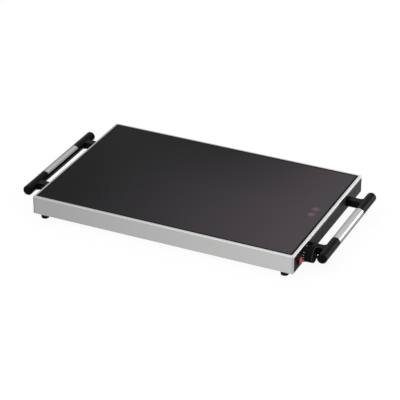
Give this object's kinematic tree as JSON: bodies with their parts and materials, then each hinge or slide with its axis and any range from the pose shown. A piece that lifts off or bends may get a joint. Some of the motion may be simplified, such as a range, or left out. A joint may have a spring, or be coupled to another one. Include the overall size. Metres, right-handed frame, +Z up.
{
  "type": "electric food warming tray",
  "caption": "Flat countertop food warmer: dark glass heating plate in a folded steel tray, tubular lifting handles at both ends, thermostat knob and rocker switch.",
  "frame": {"origin": "middle of the tray on the floor under its feet, half way between the two handles and between the front and the back", "axes": "+X along the tray towards the end with the knob and the switch, +Y towards the back, +Z up"},
  "size_m": [0.704, 0.3915, 0.051],
  "materials": {
    "housing": "brushed",
    "glass": "polished, dark",
    "seal": "matte",
    "panel": "satin",
    "moulding": "satin",
    "polished": "polished",
    "galvanised": "dull zinc",
    "track": "fired resistive film",
    "mica": "satin",
    "blanket": "felted",
    "screw": "plated",
    "brass": "plain",
    "knob": "satin",
    "rocker": "satin",
    "foot": "matte",
    "ceramic": "bisque",
    "lamp": "translucent",
    "wire": "satin",
    "copper": "copper"
  },
  "bodies": {
    "tray": {"housing": "housing", "glass_plate": "glass", "glass_seal": "seal", "left_end_panel": "panel", "right_end_panel": "panel", "base_plate": "galvanised", "heating_track": "track", "mica_sheet": "mica", "insulation_blanket": "blanket", "reflector_pan": "galvanised", "pan_screws": "screw", "left_grip_tube": "polished", "right_grip_tube": "polished", "left_front_bracket": "moulding", "left_rear_bracket": "moulding", "right_front_bracket": "moulding", "right_rear_bracket": "moulding", "bracket_screws": "screw", "bracket_washers": "screw", "thermostat_body": "galvanised", "thermostat_nut": "screw", "switch_body": "moulding", "left_front_foot": "foot", "left_rear_foot": "foot", "right_front_foot": "foot", "right_rear_foot": "foot", "foot_screws": "screw", "foot_nuts": "screw", "base_screws": "screw", "panel_screws": "screw", "lamp_holder": "ceramic", "pilot_lamps": "lamp", "thermal_fuse": "ceramic", "fuse_clip": "screw", "sensor_bulb": "copper", "bulb_clip": "screw", "terminal_block": "ceramic", "earth_stud": "brass", "cord_gland": "moulding", "gland_nut": "moulding", "wiring": "wire"},
    "knob": {"control_knob": "knob", "thermostat_shaft": "brass"},
    "rocker": {"switch_rocker": "rocker"}
  },
  "joints": [
    {"name": "knob_turn", "type": "hinge", "parent": "tray", "child": "knob", "pos_m": [0.31, -0.13475, 0.03], "axis": [-1, 0, 0], "range_deg": [-135, 135]},
    {"name": "rocker_tilt", "type": "hinge", "parent": "tray", "child": "rocker", "pos_m": [0.2962, -0.16125, 0.03], "axis": [0, 1, 0], "range_deg": [0, 20]}
  ]
}
